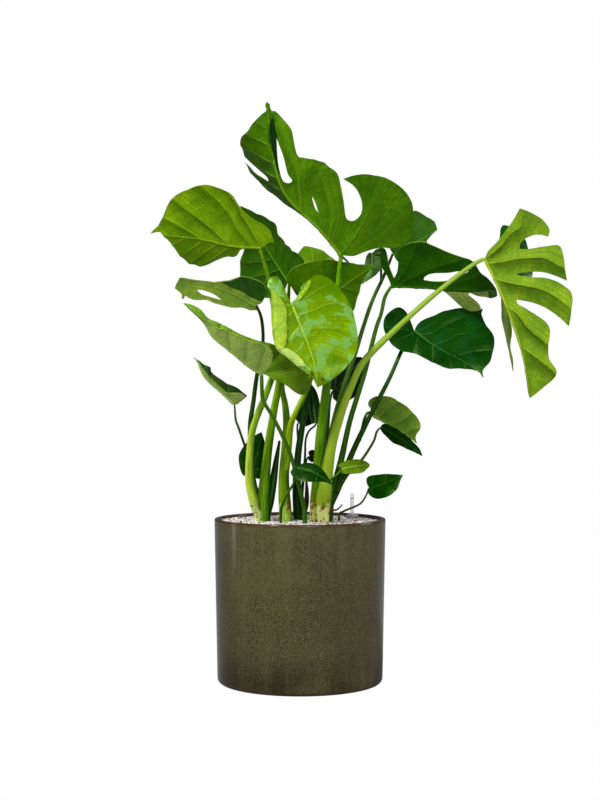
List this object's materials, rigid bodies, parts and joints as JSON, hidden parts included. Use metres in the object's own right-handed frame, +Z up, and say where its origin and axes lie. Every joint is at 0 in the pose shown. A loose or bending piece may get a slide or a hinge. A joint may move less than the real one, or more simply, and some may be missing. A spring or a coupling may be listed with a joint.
{
  "type": "potted swiss cheese plant",
  "caption": "Swiss cheese plant with split and holed leaves on long petioles, rooted in a gravel-topped glazed cylinder pot with a water gauge.",
  "frame": {"origin": "middle of the pot's flat underside", "axes": "+Z up, -Y towards the viewer of the picture, +X to the viewer's right"},
  "size_m": [0.7079, 0.3542, 0.9921],
  "materials": {
    "glaze": "semi-gloss reactive glaze, olive brown, finely speckled",
    "substrate": "matt moist potting substrate",
    "gravel": "matt pale pumice and gravel granules",
    "clear_tube": "clear polished plastic",
    "grey_plastic": "satin moulded plastic",
    "red_plastic": "satin moulded plastic",
    "stem": "smooth green petiole skin, paler towards the base",
    "leaf": "glossy green upper side, satin paler underside, light midribs"
  },
  "bodies": {
    "root": {"pot": "glaze", "substrate": "substrate", "gravel": "gravel", "gauge_tube": "clear_tube", "gauge_collar": "grey_plastic", "gauge_float": "red_plastic", "stem_left": "stem", "stem_centre": "stem", "stem_back": "stem", "stem_right": "stem", "petiole_cupped": "stem", "petiole_front": "stem", "petiole_right": "stem", "leaf_top": "leaf", "leaf_upper_left": "leaf", "leaf_back_left": "leaf", "leaf_low_left": "leaf", "leaf_cupped": "leaf", "leaf_small_left": "leaf", "leaf_bright": "leaf", "leaf_centre": "leaf", "leaf_fenestrated_dark": "leaf", "leaf_right": "leaf", "leaf_glossy_dark": "leaf", "leaf_low_right": "leaf", "leaf_low_right_dark": "leaf", "leaf_small_right": "leaf", "leaf_small_mid": "leaf", "leaf_small_front": "leaf", "leaf_small_back": "leaf", "leaf_shade": "leaf", "leaf_drooping": "leaf", "leaf_back_right": "leaf", "leaf_back_top": "leaf", "leaf_hanging": "leaf", "leaf_low_back": "leaf", "leaf_shade_low": "leaf"}
  },
  "joints": []
}
